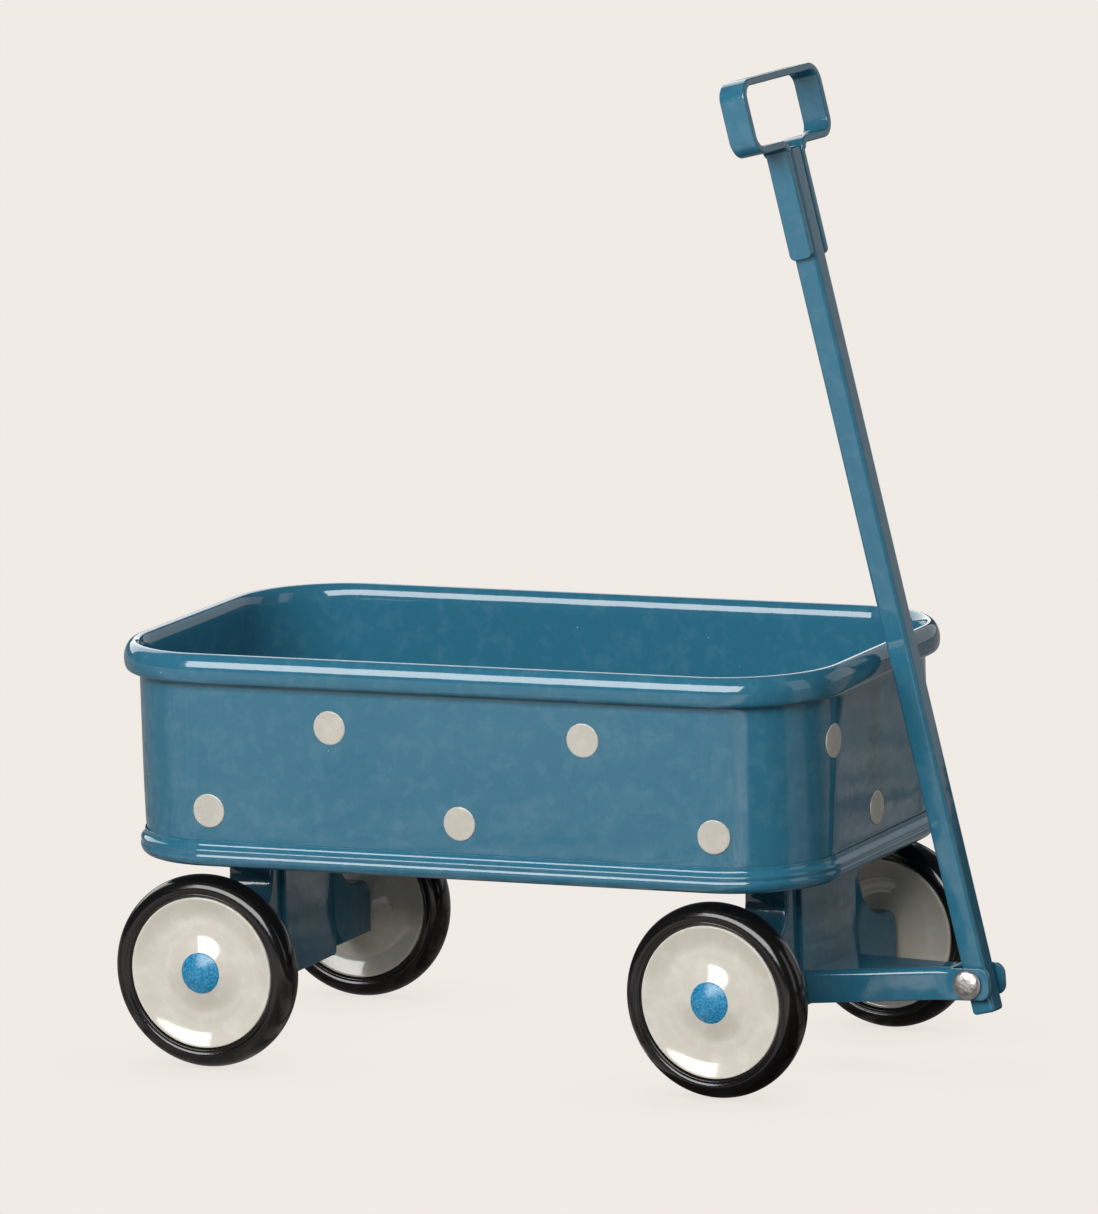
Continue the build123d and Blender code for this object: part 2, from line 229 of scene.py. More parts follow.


# %% [markdown]
# ### Blue enamel
# The blue covers all the folded sheet. It is a greenish mid blue with lighter cloudy patches
# painted into the colour: a painted reflection that stands for the mottled reflection of
# the pale sheet in the gloss. Broad shallow lumps break up the reflection of the table, a
# finer orange peel roughens highlights, and rare pale specks are dust baked into the coat.
# The cream parts are the same kind of enamel, so one function makes both.

# %% Blue enamel
def enamel(name, deep, light, roughness, peel=1.0, speck_colour=(0.45, 0.52, 0.52), speck_share=0.022):
    material, shader, place = new_material(name)
    broad = noise_at(material, place, 7.0, detail=3)
    clouds = noise_at(material, place, 2.6, detail=5, roughness=0.62)
    fine = noise_at(material, place, 0.5, detail=4, roughness=0.65)
    # Painted reflection: the lighter cloudy patches stand for the mottled reflection of the sheet in the gloss.
    painted_reflection_patches = spread(material, clouds, 0.49, 0.63)
    body = mix_colours(material, painted_reflection_patches, deep, light)
    grain = spread(material, fine, 0.35, 0.75, 0.0, 0.3)
    body = mix_colours(material, grain, body, light)
    dust = specks(material, place, 4.3, speck_share)
    link(material, mix_colours(material, dust, body, speck_colour), shader.inputs["Base Color"])
    gloss = spread(material, fine, 0.3, 0.7, roughness * 0.8, roughness * 1.3)
    link(material, gloss, shader.inputs["Roughness"])
    shader.inputs["IOR"].default_value = 1.56
    normal = bump(material, broad, 0.055 * peel)
    normal = bump(material, noise_at(material, place, 2.2, detail=2), 0.010 * peel, under=normal)
    normal = bump(material, fine, 0.0016 * peel, under=normal)
    normal = bump(material, dust, 0.02, under=normal)
    link(material, normal, shader.inputs["Normal"])
    print("finish", name, "deep", deep, "light", light)
    return material


blue_enamel = enamel("blue_enamel", (0.021, 0.123, 0.194), (0.036, 0.140, 0.211), 0.07)

# %% [markdown]
# ### Cream enamel, dot paint and hub blue
# The wheel covers wear a warm cream enamel, smoother than the blue. The polka dots are
# a greyer cream, printed on with a soft pad, so they have a slightly thicker edge and
# less gloss. The spot on each hub is a brighter blue with a stippled face.

# %% Cream, dots and hubs
cream_enamel = enamel(
    "cream_enamel", (0.53, 0.50, 0.435), (0.575, 0.545, 0.485), 0.09,
    peel=0.3, speck_colour=(0.62, 0.58, 0.50),
)
dot_paint = enamel(
    "dot_paint", (0.425, 0.405, 0.355), (0.47, 0.45, 0.40), 0.30,
    peel=0.6, speck_colour=(0.34, 0.32, 0.28),
)


def hub_paint():
    material, shader, place = new_material("hub_blue")
    stipple = noise_at(material, place, 0.30, detail=4, roughness=0.8)
    patches = noise_at(material, place, 1.6)
    dots = spread(material, stipple, 0.44, 0.56)
    body = mix_colours(material, dots, (0.001, 0.10, 0.235), (0.03, 0.27, 0.47))
    thin = spread(material, patches, 0.45, 0.75, 0, 0.5)
    body = mix_colours(material, thin, body, (0.04, 0.28, 0.42))
    link(material, body, shader.inputs["Base Color"])
    link(material, spread(material, stipple, 0.3, 0.7, 0.16, 0.32), shader.inputs["Roughness"])
    shader.inputs["IOR"].default_value = 1.5
    link(material, bump(material, stipple, 0.02), shader.inputs["Normal"])
    return material


hub_blue = hub_paint()
print("finishes", [m.name for m in (cream_enamel, dot_paint, hub_blue)])

# %% [markdown]
# ### Tyre black and rivet steel
# The tyres are moulded and painted a glossy black, with fine dust speckled over them. The
# rivets are soft steel: the head is hammered, so it is a dome of small flats, and its
# steel is bright in some patches and stained in others.

# %% Black and steel
def tyre_finish():
    material, shader, place = new_material("tyre_black")
    dust = noise_at(material, place, 0.22, detail=4, roughness=0.7)
    broad = noise_at(material, place, 4.0)
    dusty = spread(material, dust, 0.55, 0.8)
    colour = mix_colours(material, dusty, (0.0035, 0.003, 0.003), (0.022, 0.020, 0.019))
    link(material, colour, shader.inputs["Base Color"])
    link(material, spread(material, dust, 0.3, 0.75, 0.08, 0.24), shader.inputs["Roughness"])
    shader.inputs["IOR"].default_value = 1.5
    normal = bump(material, broad, 0.02)
    link(material, bump(material, dust, 0.003, under=normal), shader.inputs["Normal"])
    return material


def steel_finish(name, bright, dark, roughness, dent_mm):
    material, shader, place = new_material(name)
    flats = material.node_tree.nodes.new("ShaderNodeTexVoronoi")
    flats.inputs["Scale"].default_value = 1 / (dent_mm * MM)
    link(material, place, flats.inputs["Vector"])
    stain = noise_at(material, place, 0.9, detail=4)
    colour = mix_colours(material, spread(material, stain, 0.35, 0.7), bright, dark)
    link(material, colour, shader.inputs["Base Color"])
    shader.inputs["Metallic"].default_value = 1.0
    dullness = spread(material, stain, 0.3, 0.7, roughness * 0.7, roughness * 1.4)
    link(material, dullness, shader.inputs["Roughness"])
    normal = bump(material, flats.outputs["Distance"], 0.035)
    fine = noise_at(material, place, 0.12, detail=3)
    link(material, bump(material, fine, 0.008, under=normal), shader.inputs["Normal"])
    return material


tyre_black = tyre_finish()
rivet_steel = steel_finish("rivet_steel", (0.86, 0.84, 0.82), (0.56, 0.52, 0.49), 0.36, 0.55)
plain_steel = steel_finish("plain_steel", (0.52, 0.51, 0.50), (0.30, 0.28, 0.26), 0.36, 1.4)
print("finishes", [m.name for m in (tyre_black, rivet_steel, plain_steel)])

# %% [markdown]
# ## Finishing a piece
# Each piece is drawn as a bmesh in millimetres. One function closes its seams, turns its
# faces outwards, scales it to metres, gives it its finish and hangs it on the body of the
# frame that it moves with. Round pieces take a Subdivision Surface modifier, and folded
# sheet takes a small bevel with weighted normals, so that flats stay flat.

# %% Finishing helpers
def finish_piece(
    name, bm, material, body, stands_for=(), place=None, levels=0, weighted=False
):
    """Turns a bmesh in millimetres into a piece of the toy; frees the bmesh."""
    bmesh.ops.remove_doubles(bm, verts=bm.verts, dist=1e-3)
    bmesh.ops.recalc_face_normals(bm, faces=bm.faces)
    if place is not None:
        bmesh.ops.transform(bm, matrix=place, verts=bm.verts)
    bmesh.ops.scale(bm, vec=(MM, MM, MM), verts=bm.verts)
    for face in bm.faces:
        face.smooth = True
    mesh = bpy.data.meshes.new(name)
    bm.to_mesh(mesh)
    bm.free()
    piece = bpy.data.objects.new(name, mesh)
    bpy.context.scene.collection.objects.link(piece)
    mesh.materials.append(material)
    if levels:
        smoother = piece.modifiers.new("rounder", "SUBSURF")
        smoother.levels = levels
        smoother.render_levels = levels
    if weighted:
        mesh.set_sharp_from_angle(angle=math.radians(50))
        flats = piece.modifiers.new("flats", "WEIGHTED_NORMAL")
        flats.keep_sharp = True
    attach(piece, body)
    if stands_for:
        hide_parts(*stands_for)
    print("piece", name, len(mesh.polygons), "faces")
    return piece


def only(kind, items):
    """The vertices or the edges among what an operator gives back."""
    return [item for item in items if isinstance(item, kind)]


def wire(bm, points, closed=False):
    """Chain of vertices and edges through the points."""
    verts = [bm.verts.new(point) for point in points]
    pairs = list(zip(verts, verts[1:]))
    if closed:
        pairs.append((verts[-1], verts[0]))
    edges = [bm.edges.new(pair) for pair in pairs]
    return verts, edges


# %% [markdown]
# ## The tub's wall and rolled rim
# The wall is one band of sheet whose top edge is rolled outwards over a wire. Its section
# is the same all the way round, so a section drawn once is spun a quarter turn to make a
# corner, run out to the middle of two sides, and mirrored twice. The section is a cage of
# a few points that the subdivision rounds: it gives the even, continuous curve of rolled
# sheet, which is what draws the long clean highlights.

# %% Sweep round the tub
rim_overhang = 2.3
wall_sheet = 0.8
wall_half_length = tub_half.x - rim_overhang
wall_half_width = tub_half.y - rim_overhang
wall_corner = 14.7
corner_steps = 14


def run_out(bm, edges, axis, steps):
    """Extrudes an end of the band in equal steps until it reaches the middle plane."""
    start = edges[0].verts[0].co[axis]
    for step in range(1, steps + 1):
        grown = bmesh.ops.extrude_edge_only(bm, edges=edges)["geom"]
        verts = only(bmesh.types.BMVert, grown)
        for vert in verts:
            vert.co[axis] = start * (1 - step / steps)
        edges = [edge for edge in only(bmesh.types.BMEdge, grown) if set(edge.verts) <= set(verts)]


def band(section, closed):
    """Carries a section, drawn outwards from the wall's face, all the way round the tub."""
    bm = bmesh.new()
    corner_y = wall_half_width - wall_corner
    corner_x = wall_half_length - wall_corner
    points = [(wall_half_length + out, corner_y, height) for out, height in section]
    verts, edges = wire(bm, points, closed)
    turned = bmesh.ops.spin(
        bm, geom=verts + edges, cent=(corner_x, corner_y, 0), axis=(0, 0, 1), dvec=(0, 0, 0),
        angle=QUARTER_TURN, steps=corner_steps, use_merge=False, use_duplicate=False,
    )
    run_out(bm, edges, 1, 4)
    run_out(bm, only(bmesh.types.BMEdge, turned["geom_last"]), 0, 8)
    for axis in ("X", "Y"):
        everything = bm.verts[:] + bm.edges[:] + bm.faces[:]
        bmesh.ops.mirror(
            bm, geom=everything, matrix=Matrix.Identity(4), merge_dist=1e-3, axis=axis
        )
    return bm


tub_place = Matrix.Translation((tub_middle.x, tub_middle.y, 0))
wall_foot = tub_underside + 0.9
rim_foot = rim_top - 4.5

# %% Wall and rim
rim_section = [
    (0.0, wall_foot),
    (0.0, rim_foot - 2.2),
    (0.0, rim_foot - 0.75),
    (0.06, rim_foot - 0.15),
    (0.75, rim_foot + 0.02),
    (1.75, rim_foot + 0.0),
    (2.18, rim_foot + 0.65),
    (2.29, rim_foot + 1.7),
    (2.22, rim_top - 1.75),
    (1.62, rim_top - 0.42),
    (0.66, rim_top + 0.12),
    (-0.28, rim_top - 0.42),
    (-0.76, rim_top - 1.8),
    (-0.82, rim_top - 3.4),
    (-wall_sheet, rim_foot - 2.2),
    (-wall_sheet, wall_foot),
]
finish_piece(
    "tub_wall_and_rim", band(rim_section, True), blue_enamel, "root", ("tub_wall",), tub_place,
    levels=2,
)

# %% [markdown]
# ## The floor pan and its seam
# The wall stands in a shallow pan, and the pan's edge is folded up and pressed against it
# like the seam of a tin: two small beads with a groove between them. The same sweep makes
# the seam. The two open loops left in the middle are filled to make the floor.

# %% Floor pan
floor_sheet = 0.7
seam_section = [
    (-4.0, tub_underside + floor_sheet),
    (-1.0, tub_underside + floor_sheet),
    (-0.1, tub_underside + floor_sheet + 0.1),
    (-0.02, tub_underside + 2.6),
    (-0.03, tub_underside + 4.2),
    (0.03, tub_underside + 3.9),
    (0.06, tub_underside + 3.5),
    (0.18, tub_underside + 3.14),
    (0.56, tub_underside + 2.88),
    (0.76, tub_underside + 2.52),
    (0.62, tub_underside + 2.16),
    (0.60, tub_underside + 1.96),
    (0.78, tub_underside + 1.68),
    (0.76, tub_underside + 1.22),
    (0.46, tub_underside + 0.55),
    (-0.20, tub_underside + 0.06),
    (-1.40, tub_underside - 0.01),
    (-4.0, tub_underside),
]
pan = band(seam_section, False)
open_edges = [edge for edge in pan.edges if edge.is_boundary]
bmesh.ops.holes_fill(pan, edges=open_edges, sides=0)
finish_piece(
    "tub_floor_pan", pan, blue_enamel, "root", ("tub_floor",), tub_place,
    levels=2,
)

# %% [markdown]
# ## Polka dots
# The dots are pad printed: thin spots of cream with a rim of thicker paint. Each is a
# small profile spun a full turn, and it is laid on the wall. Some dots run on to a
# rounded corner, so a dot's points past the end of the flat are wrapped round the
# corner's own radius, as wet paint would lie. Both long sides carry the same two rows,
# and so do both ends.

# %% Dots
dot_radius = 2.53
dot_height = 0.06
long_side_dots = [(-19.0, 52.6), (21.6, 52.6), (-39.1, 39.3), (1.5, 39.3), (41.9, 39.3)]
end_dots = [(-16.3, 51.6), (16.3, 51.6), (-1.0, 38.9)]


def spun(points, steps=64, closed=False):
    """Spins (radius, height) pairs a full turn about the Z axis.

    A profile that starts on the axis is left open; the section of a ring is closed.
    """
    bm = bmesh.new()
    verts, edges = wire(bm, [(radius, 0, height) for radius, height in points], closed)
    bmesh.ops.spin(
        bm, geom=verts + edges, cent=(0, 0, 0), axis=(0, 0, 1), dvec=(0, 0, 0),
        angle=FULL_TURN, steps=steps, use_merge=True, use_duplicate=False,
    )
    bmesh.ops.remove_doubles(bm, verts=bm.verts, dist=1e-3)
    return bm


def wrap(vert, along, flat_end):
    """Bends a point drawn on a flat wall, past the end of the flat, round the corner's radius."""
    past = abs(along) - flat_end
    if past <= 0:
        return along, vert.co.z
    turn = past / wall_corner
    reach = wall_corner + vert.co.z
    side = math.copysign(1, along)
    return side * (flat_end + reach * math.sin(turn)), reach * math.cos(turn) - wall_corner


def dot_on_wall(along, height, on_long_side, side):
    edge = dot_radius
    profile = [
        (0, dot_height),
        (edge - 0.5, dot_height),
        (edge - 0.22, dot_height * 1.25),
        (edge - 0.06, dot_height * 0.95),
        (edge, 0.0),
        (edge, -0.12),
    ]
    bm = spun(profile, steps=48)
    middle = min(bm.verts, key=lambda vert: vert.co.to_2d().length)
    bmesh.ops.subdivide_edges(bm, edges=list(middle.link_edges), cuts=4)
    half_along = wall_half_length if on_long_side else wall_half_width
    reach = wall_half_width if on_long_side else wall_half_length
    for vert in bm.verts:
        up = vert.co.y + height
        run, out = wrap(vert, vert.co.x + along, half_along - wall_corner)
        if on_long_side:
            vert.co = Vector((run, side * (reach + out), up))
        else:
            vert.co = Vector((side * (reach + out), run, up))
    return bm


def join(parts):
    """Puts several bmeshes into one."""
    whole = bmesh.new()
    for part in parts:
        mesh = bpy.data.meshes.new("part")
        part.to_mesh(mesh)
        part.free()
        whole.from_mesh(mesh)
        bpy.data.meshes.remove(mesh)
    return whole


spots = []
for side in (-1, 1):
    for along, height in long_side_dots:
        spots.append(dot_on_wall(along, height, True, side))
    for along, height in end_dots:
        spots.append(dot_on_wall(along, height, False, side))
finish_piece("polka_dots", join(spots), dot_paint, "root", place=tub_place)

# %% [markdown]
# ## Wheels
# A wheel is a black ring tyre pinched between two pressed discs. The outer disc is closed:
# it swells into a low dome over the hub, dips, and turns up at its edge against the tyre.
# The inner disc is pierced for the hub tube. All of these are turned shapes, so each is a
# half profile spun about the axle, drawn lying flat and then stood up at its own wheel.

# %% Wheel profiles
tyre_side = [
    (11.40, 1.2),
    (11.44, 2.15),
    (11.58, 2.52),
    (11.80, 2.56),
    (11.96, 2.46),
    (12.14, 2.56),
    (12.50, 2.68),
    (13.05, 2.58),
    (13.72, 2.20),
    (14.26, 1.45),
    (14.495, 0.5),
]
tyre_profile = tyre_side + [(radius, -height) for radius, height in reversed(tyre_side)]
disc_face = [
    (1.2, 3.22),
    (2.6, 2.66),
    (4.2, 1.99),
    (5.6, 1.50),
    (6.4, 1.38),
    (7.0, 1.42),
    (7.8, 1.34),
    (8.6, 1.42),
    (9.6, 1.72),
    (10.6, 2.12),
    (11.2, 2.38),
    (11.44, 2.25),
    (11.40, 0.06),
]
disc_inside = [(10.9, 0.06), (10.9, 1.5), (9.5, 0.9), (5.5, 0.9)]
cover_profile = [(0, 3.30)] + disc_face + disc_inside + [(0, 2.6)]
back_profile = [(1.06, 2.3), (1.06, 3.30), (1.5, 3.30)] + disc_face + disc_inside
hub_spot_profile = [(0, 3.40), (0.7, 3.37), (1.3, 3.25), (2.7, 2.68), (3.08, 2.52), (3.14, 2.35)]


def wheel_place(centre, turn, outward):
    """Stands a turned shape up at a wheel, with its upper side facing outwards or inwards."""
    facing = Matrix.Rotation(-outward * QUARTER_TURN, 4, "X")
    return Matrix.Translation(centre) @ Matrix.Rotation(turn, 4, "Z") @ facing


# %% The four wheels
for end, turn in (("rear", 0.0), ("front", steer)):
    for side, side_name in ((-1, "right"), (1, "left")):
        wheel = f"{end}_{side_name}"
        body = f"{wheel}_wheel"
        centre = joint_at(f"{body}_spin")
        outer = wheel_place(centre, turn, side)
        inner = wheel_place(centre, turn, -side)
        finish_piece(
            f"{body}_tyre_ring", spun(tyre_profile, closed=True), tyre_black, body, (f"{wheel}_tyre",),
            outer, levels=2,
        )
        finish_piece(
            f"{body}_outer_disc", spun(cover_profile), cream_enamel, body, (f"{body}_cover",),
            outer, levels=2,
        )
        finish_piece(
            f"{body}_inner_disc", spun(back_profile, closed=True), cream_enamel, body,
            (f"{body}_back",), inner, levels=2,
        )
        finish_piece(
            f"{body}_hub_spot", spun(hub_spot_profile), hub_blue, body, (), outer, levels=1,
        )

# %% [markdown]
# ## Axle brackets
# Each axle hangs in a channel folded from sheet: a narrow neck under the tub that flares
# to a foot as wide as the wheels allow. The outline is a few corners with the flares and
# the tips rounded by a bevel of their vertices. It is pushed out to the depth of the
# channel, the underside is opened, and the skin is given the thickness of the sheet.

# %% Brackets
bracket_sheet = 0.8
bracket_half_depth = 3.6
neck_half_width = 11.5
foot_half_width = 22.9
foot_top = axle_height + 4.7
foot_bottom = axle_height - 3.4
flare_radius = 7.6
tip_rounding = 2.6


def rounded(bm, geom, radius, segments, affect):
    bmesh.ops.bevel(
        bm, geom=geom, offset=radius, segments=segments, profile=0.5, affect=affect, material=-1
    )


def round_corners(bm, verts, radius, segments):
    """Rounds corners of an outline or of an open sheet."""
    rounded(bm, verts, radius, segments, "VERTICES")


def round_edges(bm, edges, radius, segments):
    rounded(bm, edges, radius, segments, "EDGES")


def soften_edges(bm, radius, segments, least_angle=60):
    """Rounds every edge that is sharper than the given angle in degrees."""
    least = math.radians(least_angle)
    sharp = [edge for edge in bm.edges if edge.is_manifold and edge.calc_face_angle(0) > least]
    round_edges(bm, sharp, radius, segments)


def facing_out(bm, axis):
    """Turns the faces of an open skin outwards; the last face along the axis is an outer one."""
    bmesh.ops.recalc_face_normals(bm, faces=bm.faces)
    last = max(bm.faces, key=lambda face: face.calc_center_median()[axis])
    if last.normal[axis] < 0:
        bmesh.ops.reverse_faces(bm, faces=bm.faces)


def bracket_piece(top):
    bm = bmesh.new()
    half = [
        (neck_half_width, top),
        (neck_half_width, foot_top),
        (foot_half_width, foot_top),
        (foot_half_width, foot_bottom),
    ]
    outline = half + [(-y, z) for y, z in reversed(half)]
    verts, _ = wire(bm, [(-bracket_half_depth, y, z) for y, z in outline], closed=True)
    shoulders = [v for v in verts if abs(v.co.z - foot_top) < SAME]
    flares = [v for v in shoulders if abs(v.co.y) < neck_half_width + SAME]
    tips = [v for v in shoulders if abs(v.co.y) > foot_half_width - SAME]
    round_corners(bm, flares, flare_radius, 12)
    round_corners(bm, tips, tip_rounding, 6)
    plate = bmesh.ops.contextual_create(bm, geom=bm.edges[:])["faces"]
    grown = bmesh.ops.extrude_face_region(bm, geom=plate, use_keep_orig=True)["geom"]
    far = only(bmesh.types.BMVert, grown)
    bmesh.ops.translate(bm, vec=(2 * bracket_half_depth, 0, 0), verts=far)
    below = [f for f in bm.faces if all(abs(v.co.z - foot_bottom) < SAME for v in f.verts)]
    bmesh.ops.delete(bm, geom=below, context="FACES_ONLY")
    facing_out(bm, 0)
    soften_edges(bm, 0.7, 4)
    bmesh.ops.solidify(bm, geom=bm.faces[:], thickness=bracket_sheet)
    return bm


rear_place = Matrix.Translation((rear_axle_x, 0, 0))
front_bracket_top = box_mm("front_bracket")[1].z
for end, top, place, body in (
    ("rear", tub_underside, rear_place, "root"),
    ("front", front_bracket_top, truck_place, "front_truck"),
):
    finish_piece(
        f"{end}_folded_bracket", bracket_piece(top), blue_enamel, body, (f"{end}_bracket",), place,
        weighted=True,
    )

# %% [markdown]
# ## Face plates
# A flat stiffening plate is welded on the front of each bracket. It is a block with its
# corners rounded in the plane of the sheet first and its edges softened by paint after.

# %% Face plates
plate_sheet = 0.8
plate_half_width = 8.5


def edges_along(bm, axis):
    ends = [(edge, edge.verts[0].co - edge.verts[1].co) for edge in bm.edges]
    return [edge for edge, run in ends if abs(run.normalized()[axis]) > 0.9]


def sheet_block(low, high, corner, edge):
    """Flat plate facing along X, with rounded corners and paint-softened edges."""
    bm = bmesh.new()
    bmesh.ops.create_cube(bm, size=1)
    middle, half = middle_and_half(Vector(low), Vector(high))
    bmesh.ops.scale(bm, vec=2 * half, verts=bm.verts)
    bmesh.ops.translate(bm, vec=middle, verts=bm.verts)
    round_edges(bm, edges_along(bm, 0), corner, 5)
    soften_edges(bm, edge, 3, least_angle=30)
    return bm


for end, place, body in (("rear", rear_place, "root"), ("front", truck_place, "front_truck")):
    low, high = box_mm(f"{end}_bracket_face_plate")
    plate = sheet_block(
        (bracket_half_depth - 0.05, -plate_half_width, low.z),
        (bracket_half_depth + plate_sheet, plate_half_width, high.z),
        0.8,
        0.22,
    )
    finish_piece(
        f"{end}_stiffening_plate", plate, blue_enamel, body, (f"{end}_bracket_face_plate",), place,
        weighted=True,
    )

# %% [markdown]
# ## Tongue
# The tongue is a folded channel, open below, that tapers from the face plate to a fork
# with one cheek each side of the handle. The plan is drawn with its corners and pushed
# up. The block is cut square at the plate, its underside and the slot of the fork are
# opened, and the skin gets its thickness.

# %% Tongue
tongue_height = 4.8
tongue_sheet = 0.9
tongue_rise = math.radians(2.8)
tongue_rear_half = 7.8
fork_half_width = 2.85
taper_end = 5.5
slot_start = 3.0
nose_reach = 3.5
nose_rounding = 1.6
fold_radius = 1.05
plate_front = bracket_half_depth + plate_sheet


def tongue_piece():
    run = pivot_reach - plate_front
    top = tongue_height / 2
    half = [(-run, tongue_rear_half), (-taper_end, fork_half_width), (nose_reach, fork_half_width)]
    plan = half + [(along, -across) for along, across in reversed(half)]
    bm = bmesh.new()
    wire(bm, [(along, across, -top) for along, across in plan], closed=True)
    underside = bmesh.ops.contextual_create(bm, geom=bm.edges[:])["faces"]
    grown = bmesh.ops.extrude_face_region(bm, geom=underside)["geom"]
    bmesh.ops.translate(bm, vec=(0, 0, tongue_height), verts=only(bmesh.types.BMVert, grown))
    everything = bm.verts[:] + bm.edges[:] + bm.faces[:]
    bmesh.ops.bisect_plane(bm, geom=everything, plane_co=(-slot_start, 0, 0), plane_no=(1, 0, 0))
    opened = []
    for face in bm.faces:
        middle = face.calc_center_median()
        below = middle.z < SAME - top
        over_slot = middle.z > top - SAME and middle.x > -slot_start
        at_an_end = middle.x < SAME - run or middle.x > nose_reach - SAME
        if below or over_slot or at_an_end:
            opened.append(face)
    bmesh.ops.delete(bm, geom=opened, context="FACES")
    facing_out(bm, 2)
    round_corners(bm, [v for v in bm.verts if v.co.x > nose_reach - SAME], nose_rounding, 6)
    soften_edges(bm, fold_radius, 6)
    bmesh.ops.solidify(bm, geom=bm.faces[:], thickness=tongue_sheet)
    bmesh.ops.recalc_face_normals(bm, faces=bm.faces)
    soften_edges(bm, 0.18, 2, least_angle=70)
    return bm


tongue_place = pivot_place @ Matrix.Rotation(-tongue_rise, 4, "Y")
finish_piece(
    "folded_tongue", tongue_piece(), blue_enamel, "front_truck", ("tongue",), tongue_place,
    weighted=True,
)

# %% [markdown]
# ## Handle shaft
# The shaft is square bar with rounded edges. A cube stretched to length does for a start.
# A bevel rounds the long edges and then the two ends, and the bar is cut across every few
# millimetres, so that the shading runs evenly down its whole length.

# %% Shaft
shaft_width = 3.3
shaft_depth = 3.7
shaft_lead = 0.8
shaft_tail = 4.8
handle_length = 136.1
grip_height = 11.2


def shaft_piece():
    bm = bmesh.new()
    bmesh.ops.create_cube(bm, size=1)
    length = handle_length - grip_height + shaft_tail
    bmesh.ops.scale(bm, vec=(shaft_depth, shaft_width, length), verts=bm.verts)
    bmesh.ops.translate(bm, vec=(shaft_lead, 0, length / 2 - shaft_tail), verts=bm.verts)
    round_edges(bm, edges_along(bm, 2), 0.62, 4)
    soften_edges(bm, 0.55, 4)
    along = [edge for edge in bm.edges if edge.calc_length() > length / 2]
    bmesh.ops.subdivide_edges(bm, edges=along, cuts=30, use_grid_fill=False)
    return bm


finish_piece(
    "square_shaft", shaft_piece(), blue_enamel, "handle", ("handle_shaft",), handle_place,
    weighted=True,
)

# %% [markdown]
# ## Grip
# The grip is one flat strap, bent to a loop with a leg down each side of the shaft. The
# path of the strap is a chain of straight runs whose corners are rounded by a bevel. The
# chain is pulled sideways into a ribbon, the ribbon's ends are rounded, and then it is
# given its thickness.

# %% Grip
grip_width = 24.0
strap_sheet = 1.1
strap_width = 4.2
leg_width = 3.7
leg_length = 16.4


def grip_piece():
    middle = strap_sheet / 2
    leg_y = shaft_width / 2 + middle
    side_y = grip_width / 2 - middle
    low = handle_length - grip_height + middle
    high = handle_length - middle
    foot = low - middle - leg_length
    half = [(leg_y, foot), (leg_y, low), (side_y, low), (side_y, high)]
    path = half + [(-y, z) for y, z in reversed(half)]
    bm = bmesh.new()
    verts, _ = wire(bm, [(0, y, z) for y, z in path])
    bends = [v for v in verts if abs(v.co.z - low) < SAME and abs(v.co.y) < leg_y + SAME]
    corners = [v for v in verts if abs(v.co.y) > side_y - SAME]
    round_corners(bm, bends, 1.5, 6)
    round_corners(bm, corners, 2.3, 8)
    bmesh.ops.translate(bm, vec=(-strap_width / 2, 0, 0), verts=bm.verts)
    grown = bmesh.ops.extrude_edge_only(bm, edges=bm.edges[:])["geom"]
    bmesh.ops.translate(bm, vec=(strap_width, 0, 0), verts=only(bmesh.types.BMVert, grown))
    for vert in bm.verts:
        if vert.co.z < low - 1.5 and abs(vert.co.y) < leg_y + 0.1:
            vert.co.x *= leg_width / strap_width
    round_corners(bm, [v for v in bm.verts if v.co.z < foot + SAME], 0.9, 5)
    bmesh.ops.recalc_face_normals(bm, faces=bm.faces)
    for face in bm.faces:
        face.normal_update()
    outer = max(bm.faces, key=lambda face: face.calc_center_median().z)
    outwards = 1 if outer.normal.z > 0 else -1
    for vert in bm.verts:
        vert.normal_update()
        vert.co += vert.normal * outwards * strap_sheet / 2
    bmesh.ops.solidify(bm, geom=bm.faces[:], thickness=outwards * strap_sheet)
    bmesh.ops.recalc_face_normals(bm, faces=bm.faces)
    soften_edges(bm, 0.24, 3)
    bmesh.ops.translate(bm, vec=(shaft_lead, 0, 0), verts=bm.verts)
    return bm


finish_piece(
    "strap_grip", grip_piece(), blue_enamel, "handle", ("handle_grip",), handle_place,
    weighted=True,
)

# %% [markdown]
# ## Pivot rivet
# The handle turns on a soft steel rivet through the fork. Its heads were closed with a
# hammer, so the dome is dented. The profile is spun, and each point of the heads is then
# shifted a little by a noise that depends on its place.

# %% Pivot rivet
rivet_head_radius = 2.3
rivet_head_height = 1.0
rivet_radius = 1.2
rivet_half_grip = fork_half_width + 0.06


def rivet_piece():
    top = rivet_half_grip + rivet_head_height
    half = [
        (rivet_radius, 0.0),
        (rivet_radius, rivet_half_grip - 0.1),
        (rivet_radius, rivet_half_grip),
        (rivet_head_radius - 0.08, rivet_half_grip + 0.02),
        (rivet_head_radius, rivet_half_grip + 0.16),
        (rivet_head_radius - 0.10, rivet_half_grip + 0.42),
        (rivet_head_radius - 0.42, rivet_half_grip + 0.72),
        (rivet_head_radius - 0.85, top - 0.10),
        (0.8, top - 0.01),
        (0, top),
    ]
    lower = [(radius, -height) for radius, height in reversed(half[1:])]
    bm = spun(lower + half, steps=40)
    for vert in bm.verts:
        if abs(vert.co.z) > rivet_half_grip + 0.3:
            dent = noise.noise(vert.co * 2.1)
            vert.co.z -= math.copysign(0.035 * max(dent, -0.2), vert.co.z)
    return bm


rivet_place = pivot_place @ Matrix.Rotation(QUARTER_TURN, 4, "X")
finish_piece(
    "hammered_pivot_rivet", rivet_piece(), rivet_steel, "front_truck", ("pivot_rivet",), rivet_place,
    levels=1,
)

# %% [markdown]
# ## Small steel pieces of the frame
# Axles, washers, push nuts and the kingpin sit deep under the tub, and their shapes in
# the frame are already right. They keep their meshes and only take a steel finish.

